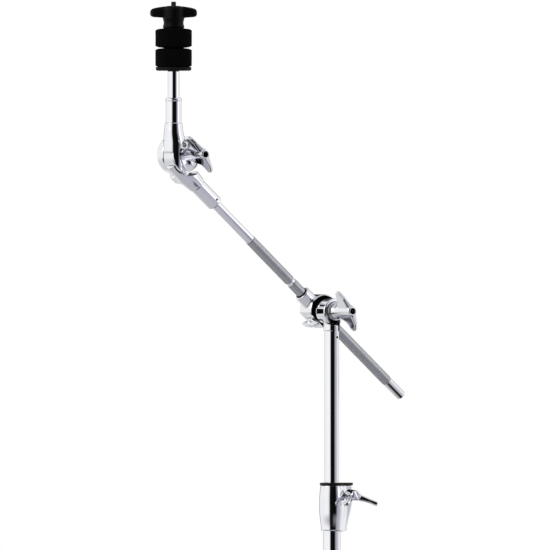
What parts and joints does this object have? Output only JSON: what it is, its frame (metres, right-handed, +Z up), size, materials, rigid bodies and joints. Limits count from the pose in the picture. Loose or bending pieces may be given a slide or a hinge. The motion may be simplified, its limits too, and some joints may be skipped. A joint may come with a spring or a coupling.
{
  "type": "cymbal boom stand",
  "caption": "Free-standing cymbal stand with a folding tripod, telescoping column, tilting boom arm and felted cymbal tilter.",
  "frame": {"origin": "on the floor plane, on the axis of the column, between the three feet", "axes": "+Z up the column, boom reaches toward -X, boom and cymbal pivots turn about Y, wing bolts face -Y"},
  "size_m": [0.4557, 0.5262, 1.1351],
  "materials": {
    "chrome": "polished",
    "steel": "satin",
    "black_plastic": "satin",
    "nylon": "matte",
    "rubber": "matte",
    "felt": "matte"
  },
  "bodies": {
    "base": {"base_tube": "chrome", "base_tube_cap": "rubber", "base_clamp": "chrome", "base_clamp_collar": "nylon", "brace_hub": "chrome", "brace_hub_pins": "steel"},
    "mid_slide": {"mid_tube_plug": "nylon"},
    "mid": {"mid_tube": "chrome", "mid_clamp": "chrome", "mid_clamp_collar": "nylon"},
    "upper_slide": {"upper_tube_plug": "nylon"},
    "upper": {"upper_tube": "chrome", "tube_rivet": "steel", "boom_clamp_base": "chrome", "clamp_friction_disc": "nylon", "clamp_front_ring": "steel"},
    "holder": {"rod_holder": "chrome", "rod_sleeve": "nylon", "clamp_back_nut": "steel"},
    "boom": {"boom_rod": "steel", "rod_ferrule": "chrome", "tilter_lower_casting": "chrome", "tilter_friction_disc": "nylon", "tilter_back_nut": "steel"},
    "cymbal": {"tilter_upper_casting": "chrome", "tilter_key_nut": "steel", "tilter_post": "chrome", "post_ferrule": "chrome", "threaded_rod": "steel", "cymbal_seat": "rubber", "lower_felt": "felt", "cymbal_sleeve": "nylon", "upper_felt": "felt"},
    "hub": {"leg_hub": "chrome", "leg_hub_pins": "steel"},
    "wing_bolt_tilter_washer_body": {"tilter_washer": "steel"},
    "wing_bolt_tilter": {"tilter_wing_bolt": "chrome"},
    "wing_bolt_clamp_washer_body": {"clamp_washer": "steel"},
    "wing_bolt_clamp": {"clamp_wing_bolt": "chrome"},
    "wing_bolt_mid_washer_body": {"mid_clamp_washer": "steel"},
    "wing_bolt_mid": {"mid_clamp_wing_bolt": "chrome"},
    "wing_bolt_base_washer_body": {"base_clamp_washer": "steel"},
    "wing_bolt_base": {"base_clamp_wing_bolt": "chrome"},
    "wing_bolt_hub_washer_body": {"hub_washer": "steel"},
    "wing_bolt_hub": {"hub_wing_bolt": "chrome"},
    "wing_screw_rod_washer_body": {"lock_washer": "steel"},
    "wing_screw_rod": {"rod_lock_screw": "chrome"},
    "wing_nut_post_washer_body": {"wing_nut_insert": "steel"},
    "wing_nut_post": {"wing_nut": "black_plastic"},
    "leg_1": {"leg_1": "chrome", "foot_1": "rubber"},
    "brace_1": {"brace_1": "chrome"},
    "leg_2": {"leg_2": "chrome", "foot_2": "rubber"},
    "brace_2": {"brace_2": "chrome"},
    "leg_3": {"leg_3": "chrome", "foot_3": "rubber"},
    "brace_3": {"brace_3": "chrome"}
  },
  "joints": [
    {"name": "boom_tilt", "type": "hinge", "parent": "upper", "child": "holder", "pos_m": [0, 0.024, 0.7956], "axis": [0, 1, 0], "range_deg": [-60, 45]},
    {"name": "boom_slide", "type": "slide", "parent": "holder", "child": "boom", "axis": [-0.7638, 0, 0.6455], "range_m": [-0.12, 0.1]},
    {"name": "cymbal_tilt", "type": "hinge", "parent": "boom", "child": "cymbal", "pos_m": [-0.18012, 0.024, 0.96745], "axis": [0, 1, 0], "range_deg": [-30, 75]},
    {"name": "column_mid_height", "type": "slide", "parent": "base", "child": "mid_slide", "axis": [0, 0, 1], "range_m": [-0.045, 0.25]},
    {"name": "column_mid_turn", "type": "hinge", "parent": "mid_slide", "child": "mid", "pos_m": [0, 0, 0.4], "axis": [0, 0, 1], "range_deg": [-180, 180]},
    {"name": "column_upper_height", "type": "slide", "parent": "mid", "child": "upper_slide", "axis": [0, 0, 1], "range_m": [-0.13, 0.25]},
    {"name": "column_upper_turn", "type": "hinge", "parent": "upper_slide", "child": "upper", "pos_m": [0, 0, 0.6], "axis": [0, 0, 1], "range_deg": [-180, 180]},
    {"name": "leg_fold", "type": "slide", "parent": "base", "child": "hub", "axis": [0, 0, 1], "range_m": [0, 0.09673]},
    {"name": "leg_1_fold", "type": "hinge", "parent": "hub", "child": "leg_1", "pos_m": [-0.026, 0, 0.22026], "axis": [0, -1, 0], "range_deg": [0, 43]},
    {"name": "leg_1_brace_fold", "type": "hinge", "parent": "base", "child": "brace_1", "pos_m": [-0.026, 0, 0.06019], "axis": [0, -1, 0], "range_deg": [-43, 0]},
    {"name": "leg_2_fold", "type": "hinge", "parent": "hub", "child": "leg_2", "pos_m": [0.013, 0.02252, 0.22026], "axis": [-0.866, 0.5, 0], "range_deg": [0, 43]},
    {"name": "leg_2_brace_fold", "type": "hinge", "parent": "base", "child": "brace_2", "pos_m": [0.013, 0.02252, 0.06019], "axis": [-0.866, 0.5, 0], "range_deg": [-43, 0]},
    {"name": "leg_3_fold", "type": "hinge", "parent": "hub", "child": "leg_3", "pos_m": [0.013, -0.02252, 0.22026], "axis": [0.866, 0.5, 0], "range_deg": [0, 43]},
    {"name": "leg_3_brace_fold", "type": "hinge", "parent": "base", "child": "brace_3", "pos_m": [0.013, -0.02252, 0.06019], "axis": [0.866, 0.5, 0], "range_deg": [-43, 0]},
    {"name": "wing_bolt_tilter_travel", "type": "slide", "parent": "boom", "child": "wing_bolt_tilter_washer_body", "axis": [0, -1, 0], "range_m": [0, 0.0025]},
    {"name": "wing_bolt_tilter_turn", "type": "hinge", "parent": "wing_bolt_tilter_washer_body", "child": "wing_bolt_tilter", "pos_m": [-0.18012, 0.022, 0.96745], "axis": [0, -1, 0], "range_deg": [0, 720.05]},
    {"name": "wing_bolt_clamp_travel", "type": "slide", "parent": "upper", "child": "wing_bolt_clamp_washer_body", "axis": [0, -1, 0], "range_m": [0, 0.0025]},
    {"name": "wing_bolt_clamp_turn", "type": "hinge", "parent": "wing_bolt_clamp_washer_body", "child": "wing_bolt_clamp", "pos_m": [0, -0.0101, 0.7956], "axis": [0, -1, 0], "range_deg": [0, 720.05]},
    {"name": "wing_bolt_mid_travel", "type": "slide", "parent": "mid", "child": "wing_bolt_mid_washer_body", "axis": [0, -1, 0], "range_m": [0, 0.002]},
    {"name": "wing_bolt_mid_turn", "type": "hinge", "parent": "wing_bolt_mid_washer_body", "child": "wing_bolt_mid", "pos_m": [0.017, -0.0096, 0.5935], "axis": [0, -1, 0], "range_deg": [0, 720.05]},
    {"name": "wing_bolt_base_travel", "type": "slide", "parent": "base", "child": "wing_bolt_base_washer_body", "axis": [0, -1, 0], "range_m": [0, 0.002]},
    {"name": "wing_bolt_base_turn", "type": "hinge", "parent": "wing_bolt_base_washer_body", "child": "wing_bolt_base", "pos_m": [0.019, -0.0096, 0.4935], "axis": [0, -1, 0], "range_deg": [0, 720.05]},
    {"name": "wing_bolt_hub_travel", "type": "slide", "parent": "hub", "child": "wing_bolt_hub_washer_body", "axis": [1, 0, 0], "range_m": [0, 0.002]},
    {"name": "wing_bolt_hub_turn", "type": "hinge", "parent": "wing_bolt_hub_washer_body", "child": "wing_bolt_hub", "pos_m": [0.0234, 0, 0.22026], "axis": [1, 0, 0], "range_deg": [0, 720.05]},
    {"name": "wing_screw_rod_travel", "type": "slide", "parent": "holder", "child": "wing_screw_rod_washer_body", "axis": [-0.6455, 0, -0.7638], "range_m": [0, 0.0016]},
    {"name": "wing_screw_rod_turn", "type": "hinge", "parent": "wing_screw_rod_washer_body", "child": "wing_screw_rod", "pos_m": [0, 0.024, 0.7956], "axis": [-0.6455, 0, -0.7638], "range_deg": [0, 720.05]},
    {"name": "wing_nut_post_travel", "type": "slide", "parent": "cymbal", "child": "wing_nut_post_washer_body", "axis": [0, 0, 1], "range_m": [0, 0.004]},
    {"name": "wing_nut_post_turn", "type": "hinge", "parent": "wing_nut_post_washer_body", "child": "wing_nut_post", "pos_m": [-0.19512, 0.024, 1.10585], "axis": [0, 0, 1], "range_deg": [0, 1440.05]}
  ],
  "couplings": [
    {"joint": "leg_1_fold", "follows": "leg_fold", "rad_per_m": 7.7589},
    {"joint": "leg_1_brace_fold", "follows": "leg_fold", "rad_per_m": -7.7589},
    {"joint": "leg_2_fold", "follows": "leg_fold", "rad_per_m": 7.7589},
    {"joint": "leg_2_brace_fold", "follows": "leg_fold", "rad_per_m": -7.7589},
    {"joint": "leg_3_fold", "follows": "leg_fold", "rad_per_m": 7.7589},
    {"joint": "leg_3_brace_fold", "follows": "leg_fold", "rad_per_m": -7.7589},
    {"joint": "wing_bolt_tilter_turn", "follows": "wing_bolt_tilter_travel", "rad_per_m": 5026.5},
    {"joint": "wing_bolt_clamp_turn", "follows": "wing_bolt_clamp_travel", "rad_per_m": 5026.5},
    {"joint": "wing_bolt_mid_turn", "follows": "wing_bolt_mid_travel", "rad_per_m": 6283.2},
    {"joint": "wing_bolt_base_turn", "follows": "wing_bolt_base_travel", "rad_per_m": 6283.2},
    {"joint": "wing_bolt_hub_turn", "follows": "wing_bolt_hub_travel", "rad_per_m": 6283.2},
    {"joint": "wing_screw_rod_turn", "follows": "wing_screw_rod_travel", "rad_per_m": 7854},
    {"joint": "wing_nut_post_turn", "follows": "wing_nut_post_travel", "rad_per_m": 6283.2}
  ]
}
